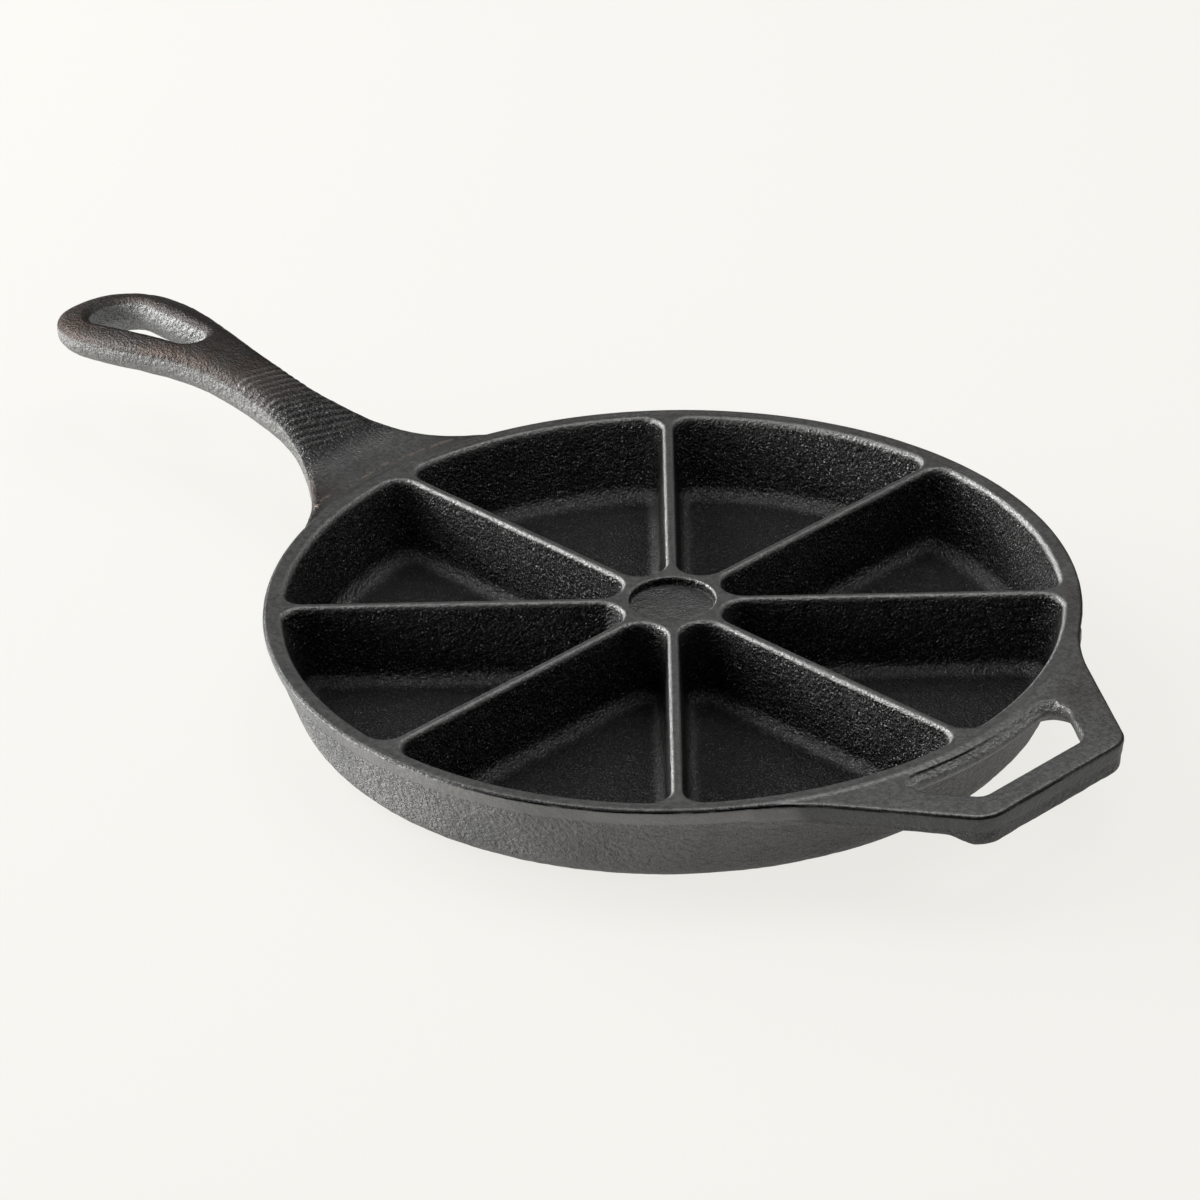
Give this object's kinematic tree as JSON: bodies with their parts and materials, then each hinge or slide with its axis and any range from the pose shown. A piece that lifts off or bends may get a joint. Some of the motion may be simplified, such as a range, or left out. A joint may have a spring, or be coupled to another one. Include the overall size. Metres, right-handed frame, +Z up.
{
  "type": "cornbread skillet",
  "caption": "Round cast iron skillet with wedge pockets parted by radial dividers round a hub, an arched long handle with a hanging hole and a looped helper handle.",
  "frame": {"origin": "middle of the flat base, on the pan axis", "axes": "+Z up out of the pockets, -X along the long handle, +X towards the helper handle"},
  "size_m": [0.4467, 0.2564, 0.0482],
  "materials": {
    "seasoned_iron": "seasoned cast iron, fine sand texture, tops of the rim and dividers ground smoother"
  },
  "bodies": {
    "root": {"long_handle": "seasoned_iron", "helper_handle": "seasoned_iron", "centre_hub": "seasoned_iron", "divider_1": "seasoned_iron", "floor_panel_1": "seasoned_iron", "wall_panel_1": "seasoned_iron", "divider_2": "seasoned_iron", "floor_panel_2": "seasoned_iron", "wall_panel_2": "seasoned_iron", "divider_3": "seasoned_iron", "floor_panel_3": "seasoned_iron", "wall_panel_3": "seasoned_iron", "divider_4": "seasoned_iron", "floor_panel_4": "seasoned_iron", "wall_panel_4": "seasoned_iron", "divider_5": "seasoned_iron", "floor_panel_5": "seasoned_iron", "wall_panel_5": "seasoned_iron", "divider_6": "seasoned_iron", "floor_panel_6": "seasoned_iron", "wall_panel_6": "seasoned_iron", "divider_7": "seasoned_iron", "floor_panel_7": "seasoned_iron", "wall_panel_7": "seasoned_iron", "divider_8": "seasoned_iron", "floor_panel_8": "seasoned_iron", "wall_panel_8": "seasoned_iron"}
  },
  "joints": []
}
